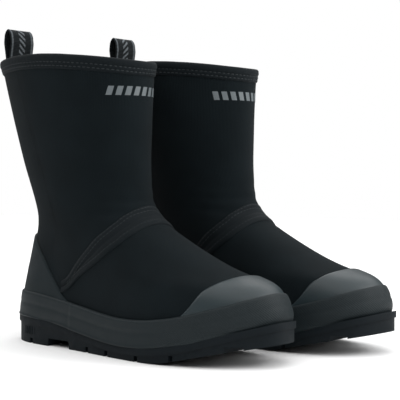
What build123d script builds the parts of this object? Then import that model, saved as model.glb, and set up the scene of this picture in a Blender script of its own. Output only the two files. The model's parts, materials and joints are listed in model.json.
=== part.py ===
from build123d import *
import bisect
import math
import os

os.makedirs("parts", exist_ok=True)

# A pair of pull-on boots: knit-faced neoprene shaft and vamp, vulcanised rubber toe cap,
# heel counter, foxing band and lugged outsole.  Toes point to -Y, +Z is up, and the pair
# stands on Z = 0 with its box centred on the origin.  Every length is in millimetres.
#
# One boot is drawn about its own centreline: "forward" runs from the heel to the toe,
# "outward" to the wearer's outer side, and "up" from the floor.

# ---------------------------------------------------------------- overall sizes
FOOT_LENGTH = 297.0          # back of the heel to the toe of the upper, at the sole
BALL_HALF_WIDTH = 50.5       # centreline to the outer side of the upper at the ball
BOOT_HEIGHT = 266.0          # floor to the highest point of the collar
BOOT_SPACING = 116.0         # centreline to centreline of the standing pair
LEFT_STEP = 31.0             # how far the left boot stands ahead of the right one

# ---------------------------------------------------------------- layers
BOND = 0.3                   # glue line left between neighbouring layers
NEOPRENE = 3.6               # knit-faced neoprene of the shaft and the vamp
LINING = 1.0                 # knit lining
CAP_RUBBER = 1.8             # toe cap
COUNTER_RUBBER = 1.8         # heel counter
FOXING_RUBBER = 3.6          # foxing band, measured from the upper
TAPE = 0.9                   # seam tape over the ankle seam
BINDING = 1.2                # collar binding tape
WEBBING = 1.5                # pull loop webbing

# ---------------------------------------------------------------- bands and edges
FOXING_HEIGHT = 23.5         # foxing band, bottom edge to top edge
BINDING_HEIGHT = 13.0        # collar binding, measured down from the rim
EDGE_FOLD = 1.4              # thickness of the binding over the rim
CUT_GAP = 0.3                # gap where two layers meet edge to edge
LEAST_CUT = 1.5              # a layer's edge runs out where it is lower than this
EDGE_STEP = 9.0              # most that a layer's edge climbs from one column to the next

# ---------------------------------------------------------------- outsole
WELT_LIP = 1.5               # how far the outsole's top band stands out past the foxing
WELT_HEIGHT = 6.0            # outsole's top band
LUG_DEPTH = 5.0              # depth of the tread grooves
ARCH_LIFT = 7.0              # height of the arch above the floor
HEEL_BREAST = 62.0           # back of the heel to its breast
ARCH_LENGTH = 30.0           # breast to the first forefoot lug
GROOVE_WIDTH = 4.0           # cross grooves and lengthwise grooves
CROSS_GROOVES = (37.0, 118.0, 146.0, 185.0, 222.0)
TOE_RECESS = (266.0, 280.0)  # recess behind the toe lug
LENGTH_GROOVES = (-19.0, 0.0, 19.0)

# ---------------------------------------------------------------- inner pieces
BOARD = 2.4                  # insole board
BOARD_GAP = 1.5              # board's edge, in from the outside of the upper
SHANK = 1.2                  # shank strip let into the board
SHANK_WIDTH = 18.0
SHANK_SPAN = (48.0, 158.0)
CUSHION_DEPTH = 12.0         # foam block let into the heel
CUSHION_SPAN = (17.0, 58.0)
CUSHION_HALF_WIDTH = 17.0
CUSHION_GAP = 0.2
FOOTBED = 6.0                # removable footbed
FOOTBED_GAP = 3.0            # room round the footbed

# ---------------------------------------------------------------- pull loop and print
LOOP_WIDTH = 30.0
LOOP_HEIGHT = 32.0
LOOP_BELLY = 4.6             # half the loop's depth where it is widest
LOOP_LIFT = 1.8              # hinge line above the rim at the back
ANCHOR_DEPTH = 24.0          # sewn length of the loop inside the collar
PRINT_FILM = 0.3
PRINT_STAND = 0.9            # flat bars stand this far off the shaft's bends
PRINT_HEIGHT = 8.0
PRINT_BARS = 9
PRINT_PITCH = 8.0
PRINT_BAR = 4.8
PRINT_SLANT = 2.2
PRINT_UP = 227.5             # lower edge of the print above the floor

# ---------------------------------------------------------------- shape of the last
# Plan of the sole: share of the length, share of the outer half width (+ outer, - inner).
PLAN = (
    (0.0, 0.0), (0.03, 0.36), (0.13, 0.62), (0.30, 0.72), (0.45, 0.86), (0.62, 1.0),
    (0.72, 0.99), (0.84, 0.83), (0.94, 0.52), (1.0, 0.10), (0.965, -0.52), (0.88, -0.80),
    (0.76, -0.92), (0.62, -0.88), (0.45, -0.68), (0.30, -0.59), (0.13, -0.58), (0.03, -0.34),
)
# Height, back, front, half width, and how far the plan has turned from sole to ellipse.
LAST = (
    (4.0, 3.0, 297.0, 50.5, 0.0),
    (24.0, 2.5, 297.0, 50.5, 0.0),
    (36.0, 3.0, 296.5, 50.5, 0.0),
    (46.0, 4.0, 295.0, 50.2, 0.03),
    (54.0, 6.0, 292.5, 49.5, 0.12),
    (60.0, 7.5, 288.5, 48.5, 0.2),
    (64.0, 8.5, 282.0, 47.7, 0.27),
    (68.0, 9.5, 269.5, 46.8, 0.33),
    (72.0, 11.0, 255.0, 45.9, 0.4),
    (76.0, 12.3, 242.5, 45.0, 0.46),
    (82.0, 14.0, 227.5, 43.5, 0.54),
    (90.0, 16.5, 210.0, 42.0, 0.65),
    (98.0, 19.0, 194.0, 41.0, 0.76),
    (106.0, 21.5, 178.5, 40.2, 0.87),
    (114.0, 23.0, 165.5, 39.7, 0.95),
    (122.0, 22.7, 157.0, 39.5, 1.0),
    (130.0, 20.8, 151.8, 39.7, 1.0),
    (140.0, 17.3, 149.0, 40.3, 1.0),
    (168.0, 6.5, 146.8, 43.0, 1.0),
    (208.0, -5.8, 147.0, 48.0, 1.0),
    (250.0, -17.3, 148.7, 52.6, 1.0),
    (274.0, -24.0, 150.2, 54.8, 1.0),
)
ANKLE_UP = 130.0             # the shaft's height is changed above this level only
COLUMNS_PER_POINT = 2        # ruled columns of the upper between two points of the plan
LAST_LENGTH = 297.0
LAST_HALF_WIDTH = 50.5
LAST_HEIGHT = 266.0

# Side-view curves, as forward and up.
FEATHER = ((-60, 25.5), (-5, 25), (20, 24.5), (45, 24.5), (72, 22), (101, 18), (127, 14.5),
           (145, 12), (165, 11), (186, 11.5), (208, 13.5), (230, 17.5), (256, 24.5),
           (279, 31.5), (305, 38.5), (360, 50))
TREAD_TOE = ((192, 0), (215, 2), (240, 7.5), (265, 13), (305, 20.5), (360, 30))
RIM = ((-60, 261), (-20, 263.5), (20, 265.5), (65, 266), (110, 263.5), (150, 258), (190, 251))
SEAM = ((185, 150), (166, 128), (153, 116.5), (137, 100.5), (120, 86), (106, 74.5),
        (96, 67), (87, 59), (79, 50), (70, 36), (60, 18))
TAPE_TOP = ((178, 160), (162, 142), (152, 129), (140, 113.5), (131, 104.5), (116, 91),
            (102, 78), (89, 65), (77, 53), (66, 38), (56, 22))
TAPE_LOW = ((190, 140), (170, 116), (158, 103.5), (145, 91.5), (131, 80.5), (115, 71),
            (102, 64.5), (93, 58), (87, 49), (80, 34), (72, 18))
CAP_EDGE = ((214, 18), (222, 31), (230, 42), (239, 53), (249, 62), (256, 67), (262, 71),
            (272, 78), (290, 90))
COUNTER_EDGE = ((-30, 116), (8, 106), (26, 101), (41, 90.5), (54, 79), (63, 69), (70, 60.5),
                (77, 52), (84, 43), (96, 24), (104, 10))

HALF_SPAN = 90.0             # side-view cutters reach this far to each side


def along(forward):
    return forward * FOOT_LENGTH / LAST_LENGTH


def across(outward):
    return outward * BALL_HALF_WIDTH / LAST_HALF_WIDTH


def raised(up):
    if up <= ANKLE_UP:
        return up
    return ANKLE_UP + (up - ANKLE_UP) * (BOOT_HEIGHT - ANKLE_UP) / (LAST_HEIGHT - ANKLE_UP)


def at(forward, outward, up):
    """A point of the right boot, whose outer side faces -X."""
    return Vector(-outward, -forward, up)


def stations():
    return [(raised(u), along(b), along(f), across(w), r) for u, b, f, w, r in LAST]


ROWS = stations()
LEVELS = [row[0] for row in ROWS]
COLUMNS = len(PLAN) * COLUMNS_PER_POINT


def slope(row, column):
    """Change of one column per millimetre of height, at a station."""
    low = ROWS[max(row - 1, 0)]
    high = ROWS[min(row + 1, len(ROWS) - 1)]
    return (high[column] - low[column]) / (high[0] - low[0])


def plan_at(place):
    """Share and breadth on the plan's smooth closed curve; one unit of place is one point."""
    first = math.floor(place)
    t = place - first
    p, q, r, s = (PLAN[(first + k) % len(PLAN)] for k in (-1, 0, 1, 2))
    found = []
    for a, b, c, d in zip(p, q, r, s):
        found.append(0.5 * (2 * b + (c - a) * t + (2 * a - 5 * b + 4 * c - d) * t * t
                            + (3 * b - 3 * c + d - a) * t ** 3))
    share, breadth = found
    return min(max(share, 0.0), 1.0), breadth


def plan_point(place, back, front, half_width, roundness):
    share, breadth = plan_at(place)
    oval = math.copysign(2 * math.sqrt(share * (1 - share)), breadth)
    width = half_width * ((1 - roundness) * breadth + roundness * oval)
    return back + share * (front - back), width


def station_point(column, row, grow):
    """Forward and outward of one column at one station, moved out by `grow` square to the skin."""
    _, back, front, half_width, roundness = ROWS[row]
    back -= grow * math.hypot(1, slope(row, 1))
    front += grow * math.hypot(1, slope(row, 2))
    half_width += grow * math.hypot(1, slope(row, 3))
    return plan_point(column / COLUMNS_PER_POINT, back, front, half_width, roundness)


def blend_pair(p, q, t):
    return tuple(a + (b - a) * t for a, b in zip(p, q))


def skin_point(column, up, grow):
    """Forward and outward on the skin, which is straight between stations and columns."""
    row = min(max(bisect.bisect_right(LEVELS, up) - 1, 0), len(LEVELS) - 2)
    t = (up - LEVELS[row]) / (LEVELS[row + 1] - LEVELS[row])
    first = math.floor(column)
    sides = []
    for c in (first, first + 1):
        sides.append(blend_pair(station_point(c, row, grow), station_point(c, row + 1, grow), t))
    return blend_pair(sides[0], sides[1], column - first)


def height_on(curve, forward):
    """Height of a side-view curve at a distance forward, straight between its points."""
    points = sorted((along(f), raised(u)) for f, u in curve)
    places = [f for f, _ in points]
    i = min(max(bisect.bisect_right(places, forward) - 1, 0), len(points) - 2)
    (f0, u0), (f1, u1) = points[i], points[i + 1]
    return u0 + (u1 - u0) * (forward - f0) / (f1 - f0)


def crossing(column, grow, curve, shift=0.0):
    """Height at which a column of the skin comes up through a side-view curve."""
    low, high = LEVELS[0], LEVELS[-1]
    for _ in range(40):
        middle = (low + high) / 2
        if middle < height_on(curve, skin_point(column, middle, grow)[0]) + shift:
            low = middle
        else:
            high = middle
    return high


def solid_from(triangles):
    """Closed solid from triangles of points, leaving out those with no area."""
    faces = []
    for a, b, c in triangles:
        if (b - a).cross(c - a).length > 1e-6:
            faces.append(Face(Wire.make_polygon([a, b, c])))
    return Solid(Shell(faces))


def quad(a, b, c, d):
    return [(a, b, c), (a, c, d)]


def walled(loops, closed):
    """Triangles of a tube through profile loops of equal length, capped unless it closes on itself."""
    triangles = []
    pairs = list(zip(loops, loops[1:] + loops[:1])) if closed else list(zip(loops, loops[1:]))
    for near, far in pairs:
        for i in range(len(near)):
            j = (i + 1) % len(near)
            triangles += quad(near[i], far[i], far[j], near[j])
    if not closed:
        half = len(loops[0]) // 2
        for loop, turn in ((loops[0], 1), (loops[-1], -1)):
            for i in range(half - 1):
                a, b, c, d = loop[i], loop[i + 1], loop[-2 - i], loop[-1 - i]
                triangles += quad(a, b, c, d) if turn > 0 else quad(d, c, b, a)
    return triangles


def layer(columns, outer, inner, low, high, closed):
    """A sheet of even thickness on the skin, between two heights given for each column.

    `outer` and `inner` are how far its faces stand off the skin: a number, or a function of
    forward.  `low` and `high` are functions of the column and the stand-off."""
    loops = []
    for column in refined(columns, outer, low, high, closed):
        faces = []
        for grow in (outer, inner):
            bottom, top = low(column, outer), high(column, outer)
            face = []
            for level in [bottom] + LEVELS + [top]:
                up = min(max(level, bottom), top)
                off = grow(skin_point(column, up, 0.0)[0]) if callable(grow) else grow
                face.append(at(*skin_point(column, up, off), up))
            faces.append(face)
        loops.append(faces[0] + faces[1][::-1])
    return solid_from(walled(loops, closed))


def covered(low, high, grow):
    """The unbroken run of half columns on which a layer is high enough to be cut."""
    count = 2 * COLUMNS
    tall = [high(c / 2, grow) - low(c / 2, grow) > LEAST_CUT for c in range(count)]
    start = next(c for c in range(count) if tall[c] and not tall[c - 1])
    run = [start]
    while tall[(run[-1] + 1) % count]:
        run.append(run[-1] + 1)
    return [c / 2 for c in run]


def refined(columns, grow, low, high, closed):
    """Columns with more of them put in where an edge climbs steeply, so it follows the skin."""
    found = []
    ends = columns[1:] + ([columns[0] + COLUMNS] if closed else [])
    for near, far in zip(columns, ends):
        climb = max(abs(edge(far, grow) - edge(near, grow)) for edge in (low, high))
        parts = max(1, math.ceil(climb / EDGE_STEP))
        found += [near + (far - near) * k / parts for k in range(parts)]
    return found if closed else found + [columns[-1]]


def side_column(outward, up, near):
    """Column at which the skin is `outward` from the centreline, on one side of a column."""
    reach = math.copysign(6.0, outward)
    low, high = near, near + (reach if near == 0 else -reach)
    for _ in range(40):
        middle = (low + high) / 2
        if abs(skin_point(middle, up, 0.0)[1]) < abs(outward):
            low = middle
        else:
            high = middle
    return low


def sole_prism(grow, low, high):
    """Upright prism on the sole's plan, `grow` wider than the upper all round."""
    _, back, front, half_width, roundness = ROWS[1]
    corners = []
    for i in range(len(PLAN)):
        corners.append(at(*plan_point(i, back - grow, front + grow, half_width + grow, roundness), low))
    knots = [i / len(corners) for i in range(len(corners) + 1)]
    outline = Wire([Edge.make_spline(corners, periodic=True, parameters=knots)])
    return extrude(Face(outline), amount=high - low, dir=(0, 0, 1))


def curve_points(curve, shift_up=0.0, shift_forward=0.0):
    return [at(along(f) + shift_forward, 0, raised(u) + shift_up) for f, u in curve]


def side_cutter(points):
    """Solid across the whole boot, from the corners of a closed side-view outline."""
    face = Pos(-HALF_SPAN, 0, 0) * Face(Wire.make_polygon(points))
    return extrude(face, amount=2 * HALF_SPAN, dir=(1, 0, 0))


def between(low_curve, low_shift, high_curve, high_shift):
    high = curve_points(high_curve, high_shift)
    return side_cutter(curve_points(low_curve, low_shift) + high[::-1])


def box_between(forward, outward, up):
    size = (abs(outward[1] - outward[0]), forward[1] - forward[0], up[1] - up[0])
    middle = at(sum(forward) / 2, sum(outward) / 2, sum(up) / 2)
    return Pos(middle) * Box(*size)


INSIDE = -(NEOPRENE + BOND)
CAVITY = INSIDE - LINING
BOARD_TOP = BOND + BOARD
RIM_BACK_UP = raised(263.5)
LOOP_FORWARD = along(-19.4) + NEOPRENE + LINING


def outsole():
    welt = sole_prism(FOXING_RUBBER + WELT_LIP, -5, 60) & between(FEATHER, -WELT_HEIGHT, FEATHER, 0)
    breast = along(HEEL_BREAST)
    floor = [
        at(along(-60), 0, 0), at(breast, 0, 0), at(breast + 1, 0, ARCH_LIFT),
        at(breast + ARCH_LENGTH - 1, 0, ARCH_LIFT), at(breast + ARCH_LENGTH, 0, 0),
    ]
    top = curve_points(FEATHER, -WELT_HEIGHT / 2)
    core = sole_prism(FOXING_RUBBER, -5, 60) & side_cutter(floor + curve_points(TREAD_TOE) + top[::-1])
    sole = welt + core
    for groove in tread_grooves():
        sole = sole - groove
    pocket = cushion_block(CUSHION_GAP, 0.0)
    return sole - pocket


def tread_height(forward):
    """Height of the tread above the floor, near enough to set a groove's depth."""
    start = along(TREAD_TOE[0][0])
    if forward <= start:
        return 0.0
    reach = (forward - start) / along(TREAD_TOE[4][0] - TREAD_TOE[0][0])
    return TREAD_TOE[4][1] * reach ** 1.3


def tread_grooves():
    grooves = []
    for centre in CROSS_GROOVES:
        forward = (along(centre) - GROOVE_WIDTH / 2, along(centre) + GROOVE_WIDTH / 2)
        top = tread_height(along(centre)) + LUG_DEPTH
        grooves.append(box_between(forward, (-HALF_SPAN, HALF_SPAN), (-5, top)))
    recess = (along(TOE_RECESS[0]), along(TOE_RECESS[1]))
    top = tread_height(sum(recess) / 2) + LUG_DEPTH
    grooves.append(box_between(recess, (-HALF_SPAN, HALF_SPAN), (-5, top)))
    for centre in LENGTH_GROOVES:
        outward = (across(centre) - GROOVE_WIDTH / 2, across(centre) + GROOVE_WIDTH / 2)
        heel = (along(14), along(HEEL_BREAST) + 5)
        forefoot = (along(HEEL_BREAST) + ARCH_LENGTH - 5, along(232))
        grooves.append(box_between(heel, outward, (-5, LUG_DEPTH)))
        grooves.append(box_between(forefoot, outward, (-5, LUG_DEPTH)))
    return grooves


def cushion_block(gap, drop):
    forward = (along(CUSHION_SPAN[0]) - gap, along(CUSHION_SPAN[1]) + gap)
    half = CUSHION_HALF_WIDTH + gap
    block = box_between(forward, (-half, half), (24.5 - CUSHION_DEPTH - gap, 40))
    block = fillet(block.edges().filter_by(Axis.Z), 6.0)
    return block & between(FEATHER, -40, FEATHER, -drop)


def heel_cushion():
    return cushion_block(0.0, CUSHION_GAP)


def shank_blank(gap):
    forward = (along(SHANK_SPAN[0]) - gap, along(SHANK_SPAN[1]) + gap)
    half = SHANK_WIDTH / 2 + gap
    block = box_between(forward, (-half, half), (-5, 60))
    block = fillet(block.edges().filter_by(Axis.Z), 4.0)
    return block & between(FEATHER, -2 * gap, FEATHER, BOND + SHANK + gap)


def shank():
    return shank_blank(0.0) & between(FEATHER, BOND, FEATHER, BOND + SHANK)


def insole_board():
    board = sole_prism(-BOARD_GAP, 0, 80) & between(FEATHER, BOND, FEATHER, BOARD_TOP)
    return board - shank_blank(BOND)


def footbed():
    low = BOARD_TOP + 2 * BOND
    return sole_prism(CAVITY - FOOTBED_GAP, 0, 80) & between(FEATHER, low, FEATHER, low + FOOTBED)


def above_board(column, grow):
    return crossing(column, grow, FEATHER, BOARD_TOP + BOND)


def above_feather(column, grow):
    return crossing(column, grow, FEATHER, BOND)


def under_fold(column, grow):
    return crossing(column, 0.0, RIM, -EDGE_FOLD)


ROUND = list(range(COLUMNS))


def lining():
    return layer(ROUND, INSIDE, CAVITY, above_board, under_fold, True)


def shaft():
    def low(column, grow):
        return max(above_board(column, grow), crossing(column, grow, SEAM, CUT_GAP))

    return layer(ROUND, 0.0, -NEOPRENE, low, under_fold, True)


def vamp():
    def high(column, grow):
        return crossing(column, grow, SEAM)

    return layer(covered(above_board, high, 0.0), 0.0, -NEOPRENE, above_board, high, False)


def toe_cap():
    def high(column, grow):
        return crossing(column, grow, CAP_EDGE)

    outer = BOND + CAP_RUBBER
    return layer(covered(above_feather, high, outer), outer, BOND, above_feather, high, False)


def heel_counter():
    def high(column, grow):
        return crossing(column, grow, COUNTER_EDGE)

    outer = BOND + COUNTER_RUBBER
    return layer(covered(above_feather, high, outer), outer, BOND, above_feather, high, False)


def foxing_back(forward):
    """Inner face of the foxing: on the neoprene in the middle, over the counter and cap at the ends."""
    middle = along(157)
    reach = abs(forward - middle) - along(30)
    rise = min(max(reach / along(22), 0.0), 1.0)
    overlay = CAP_RUBBER if forward > middle else COUNTER_RUBBER
    return BOND + (overlay + BOND) * rise


def foxing():
    def high(column, grow):
        return crossing(column, grow, FEATHER, FOXING_HEIGHT)

    return layer(ROUND, FOXING_RUBBER, foxing_back, above_feather, high, True)


def seam_tape():
    def low(column, grow):
        return max(crossing(column, grow, TAPE_LOW),
                   crossing(column, grow, FEATHER, FOXING_HEIGHT + CUT_GAP),
                   crossing(column, grow, COUNTER_EDGE, CUT_GAP))

    def high(column, grow):
        return crossing(column, grow, TAPE_TOP)

    outer = BOND + TAPE
    return layer(covered(low, high, outer), outer, BOND, low, high, False)


def collar_binding():
    """Tape folded over the rim: down the outside, over the edge and down the inside."""
    loops = []
    for column in ROUND:
        rim = crossing(column, 0.0, RIM)
        fold = rim - EDGE_FOLD + BOND
        hem = rim - BINDING_HEIGHT
        profile = (
            (BOND + BINDING, hem), (BOND + BINDING, rim), (CAVITY - BOND - BINDING, rim),
            (CAVITY - BOND - BINDING, hem), (CAVITY - BOND, hem), (CAVITY - BOND, fold),
            (BOND, fold), (BOND, hem),
        )
        loops.append([at(*skin_point(column, up, grow), up) for grow, up in profile])
    return solid_from(walled(loops, True))


def loop_anchor():
    """The loop's sewn end: one tab of webbing down the inside of the collar."""
    def low(column, grow):
        return crossing(column, grow, RIM, -ANCHOR_DEPTH)

    def high(column, grow):
        return crossing(column, grow, RIM, -EDGE_FOLD / 2)

    edge = side_column(LOOP_WIDTH / 2, RIM_BACK_UP, 0)
    outer = CAVITY - 2 * BOND - BINDING
    return layer([-edge, -1, 0, 1, edge], outer, outer - WEBBING, low, high, False)


def pull_loop():
    """Webbing folded into an upright loop above the rim at the back."""
    base = RIM_BACK_UP + LOOP_LIFT
    half = WEBBING - 0.2

    def side(belly, low, high, foot):
        rise = high - low
        left = [at(LOOP_FORWARD - d, 0, base + low + rise * r) for d, r in
                ((foot, 0.0), (belly * 0.62, 0.28), (belly, 0.62), (belly * 0.8, 0.86), (0.0, 1.0))]
        right = [at(LOOP_FORWARD + d, 0, base + low + rise * r) for d, r in
                 ((0.0, 1.0), (belly * 0.8, 0.86), (belly, 0.62), (belly * 0.62, 0.28), (foot, 0.0))]
        edges = [Edge.make_spline(left), Edge.make_spline(right)]
        if foot > 0:
            edges.append(Edge.make_line(right[-1], left[0]))
        face = Pos(-LOOP_WIDTH / 2, 0, 0) * Face(Wire(edges))
        return extrude(face, amount=LOOP_WIDTH, dir=(1, 0, 0))

    return side(LOOP_BELLY, 0.0, LOOP_HEIGHT, half) - side(LOOP_BELLY - WEBBING, 5.0, LOOP_HEIGHT - 2.0, 0.0)


def front_print():
    """Slanted bars of thin film across the front of the shaft."""
    low = raised(PRINT_UP)
    toe = PLAN.index(max(PLAN)) * COLUMNS_PER_POINT
    bars = []
    for i in range(PRINT_BARS):
        start = (i - PRINT_BARS / 2) * PRINT_PITCH
        loops = []
        for outward in (start, start + PRINT_BAR / 2, start + PRINT_BAR):
            loop = []
            for up, slant in ((low, 0.0), (low + PRINT_HEIGHT, PRINT_SLANT)):
                column = side_column(outward + slant, up, toe)
                for grow in (PRINT_STAND + PRINT_FILM, PRINT_STAND):
                    loop.append(at(*skin_point(column, up, grow), up))
            loops.append([loop[0], loop[2], loop[3], loop[1]])
        bars.append(solid_from(walled(loops, False)))
    return Compound(children=bars)


PIECES = {
    "outsole": outsole,
    "heel_cushion": heel_cushion,
    "shank": shank,
    "insole_board": insole_board,
    "footbed": footbed,
    "lining": lining,
    "shaft": shaft,
    "vamp": vamp,
    "toe_cap": toe_cap,
    "heel_counter": heel_counter,
    "foxing": foxing,
    "seam_tape": seam_tape,
    "collar_binding": collar_binding,
    "loop_anchor": loop_anchor,
    "pull_loop": pull_loop,
    "front_print": front_print,
}


def one_shape(shape):
    """A single solid, or a compound where the piece is several solids."""
    solids = shape.solids()
    return solids[0] if len(solids) == 1 else Compound(children=solids)


def main():
    right_place = Pos(-BOOT_SPACING / 2, 0, 0)
    left_place = Pos(BOOT_SPACING / 2, -LEFT_STEP, 0)
    placed = {}
    for name, make in PIECES.items():
        piece = one_shape(make())
        placed["right_" + name] = right_place * piece
        placed["left_" + name] = left_place * piece.mirror(Plane.YZ)
    box = Compound(children=[s.moved(Location()) for s in placed.values()]).bounding_box()
    shift = Pos(-(box.min.X + box.max.X) / 2, -(box.min.Y + box.max.Y) / 2, 0)
    for name, piece in placed.items():
        export_step(shift * piece, f"parts/{name}.step")
    for side, place in (("right", right_place), ("left", left_place)):
        heel = (shift * place).position
        hinge = heel + at(LOOP_FORWARD, 0, RIM_BACK_UP + LOOP_LIFT)
        print(side, "boot's own zero", heel, "loop hinge", hinge)


main()
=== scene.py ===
import json
import math

import bpy
import numpy as np
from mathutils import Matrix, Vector, noise
from mathutils.bvhtree import BVHTree


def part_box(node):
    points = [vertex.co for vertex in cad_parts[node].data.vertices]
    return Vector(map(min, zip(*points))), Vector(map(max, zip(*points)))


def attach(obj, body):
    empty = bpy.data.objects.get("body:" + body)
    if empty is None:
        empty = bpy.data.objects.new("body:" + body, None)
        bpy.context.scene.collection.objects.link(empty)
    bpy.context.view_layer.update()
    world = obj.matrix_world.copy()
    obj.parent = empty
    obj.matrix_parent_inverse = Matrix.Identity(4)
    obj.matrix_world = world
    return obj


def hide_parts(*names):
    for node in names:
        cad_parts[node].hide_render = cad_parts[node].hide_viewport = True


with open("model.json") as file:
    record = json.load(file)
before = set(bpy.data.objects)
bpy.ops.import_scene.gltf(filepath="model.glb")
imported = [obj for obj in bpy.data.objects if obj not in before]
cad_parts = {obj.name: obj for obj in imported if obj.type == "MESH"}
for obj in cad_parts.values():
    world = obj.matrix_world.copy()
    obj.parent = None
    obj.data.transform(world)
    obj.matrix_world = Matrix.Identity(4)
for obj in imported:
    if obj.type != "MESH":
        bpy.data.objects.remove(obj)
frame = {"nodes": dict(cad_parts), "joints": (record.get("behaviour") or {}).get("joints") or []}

bl_info = {
    "name": "Neoprene Boots",
    "version": (1, 0, 0),
    "blender": (4, 5, 0),
    "location": "View3D > Sidebar > Boots",
    "description": "Dresses a packed pair of pull-on neoprene boots",
    "category": "Object",
}

# Every length in this file is in metres unless its name or unit says otherwise.
MM = 0.001
SIDES = ("right", "left")
FAN = 26                     # columns of the skin in each quarter turn at the heel and the toe
FLANK = 50                   # columns of the skin along each side
COLUMNS = 4 * FAN + 2 * FLANK
FOOT_LIFT = 8 * MM           # lowest level of the skin, above the floor
LEVEL_STEP = 0.5 * MM        # step between the heights that are tried before levels are chosen
RIM_CLEAR = 14 * MM          # the centreline is measured no nearer to the rim than this
CAST_REACH = 0.25            # how far out a ray starts for the skin
NODE_REACH = 0.2             # how far out a ray starts for one node's span
LINING_DEPTH = 4.9 * MM      # outside of the neoprene to the face of the lining
PATCH_STEP = 0.2 * MM        # least that a rubber patch stands off the knit
PRINT_BARS = 9
HEEL_RIBS = 9
LOOP_THICKNESS = 1.5 * MM
LOOP_END_TOP = 3.2 * MM      # the loop's sewn end stops this far below the rim
LOOP_END_FACES = (-8.4 * MM, -6.9 * MM)
CAMERA_LENS, CAMERA_SENSOR = 103.5, 36.0
CAMERA_PLACE = (-0.831, -0.671, 0.159)
CAMERA_TILT = math.radians(1.36)
CAMERA_HEADING = (0.7826, 0.6225)

made_materials = {}
shared = {}


# ------------------------------------------------------------------ reading the CAD
def node_mesh(name):
    mesh = frame["nodes"][name].data
    return [v.co.copy() for v in mesh.vertices], [list(p.vertices) for p in mesh.polygons]


def tree_of(*names):
    points, faces = [], []
    for name in names:
        more, polygons = node_mesh(name)
        faces += [[len(points) + i for i in p] for p in polygons]
        points += more
    return BVHTree.FromPolygons(points, faces)


def loop_hinge(side):
    """Where the side's pull loop turns, in the row frame."""
    joint = next(j for j in frame["joints"] if j["child"] == side + "_loop")
    return Vector(joint["pos_m"])


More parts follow.
